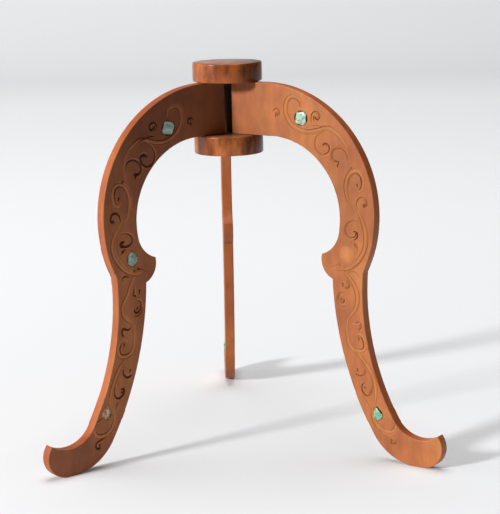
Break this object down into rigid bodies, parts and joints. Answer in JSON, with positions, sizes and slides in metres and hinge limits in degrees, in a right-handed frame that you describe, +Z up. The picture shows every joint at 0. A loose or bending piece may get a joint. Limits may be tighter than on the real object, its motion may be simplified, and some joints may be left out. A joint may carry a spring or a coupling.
{
  "type": "folding tripod stand",
  "caption": "Folding wooden tripod stand: flat carved C-scroll legs set with domed stones, hinged upright between plain round discs so that two legs fold against the third.",
  "frame": {"origin": "on the floor, under the middle of the box round the open stand", "axes": "+Z up through the discs, +Y outwards along the back leg, the two front legs towards -Y"},
  "size_m": [0.2918, 0.29, 0.2894],
  "materials": {
    "leg_wood": "satin",
    "disc_wood": "satin",
    "turquoise": "polished",
    "pin_steel": "satin"
  },
  "bodies": {
    "hub": {"top_disc": "disc_wood", "bottom_disc": "disc_wood", "left_leg": "leg_wood", "left_pin": "pin_steel", "right_pivot_pin": "pin_steel", "back_pivot_pin": "pin_steel", "left_upper_stone_lh": "turquoise", "left_middle_stone_lh": "turquoise", "left_upper_stone_rh": "turquoise", "left_middle_stone_rh": "turquoise", "left_lower_stone_rh": "turquoise"},
    "back_leg": {"back_leg": "leg_wood", "back_upper_stone_lh": "turquoise", "back_lower_stone_lh": "turquoise", "back_upper_stone_rh": "turquoise"},
    "right_leg": {"right_leg": "leg_wood", "right_upper_stone_lh": "turquoise", "right_middle_stone_lh": "turquoise", "right_lower_stone_lh": "turquoise", "right_upper_stone_rh": "turquoise", "right_lower_stone_rh": "turquoise"}
  },
  "joints": [
    {"name": "back_leg_swing", "type": "hinge", "parent": "hub", "child": "back_leg", "pos_m": [-0.00404, -0.02239, 0.25545], "axis": [0, 0, 1], "range_deg": [0, 126]},
    {"name": "right_leg_swing", "type": "hinge", "parent": "hub", "child": "right_leg", "pos_m": [0.00808, -0.04339, 0.25545], "axis": [0, 0, 1], "range_deg": [-108, 0]}
  ]
}
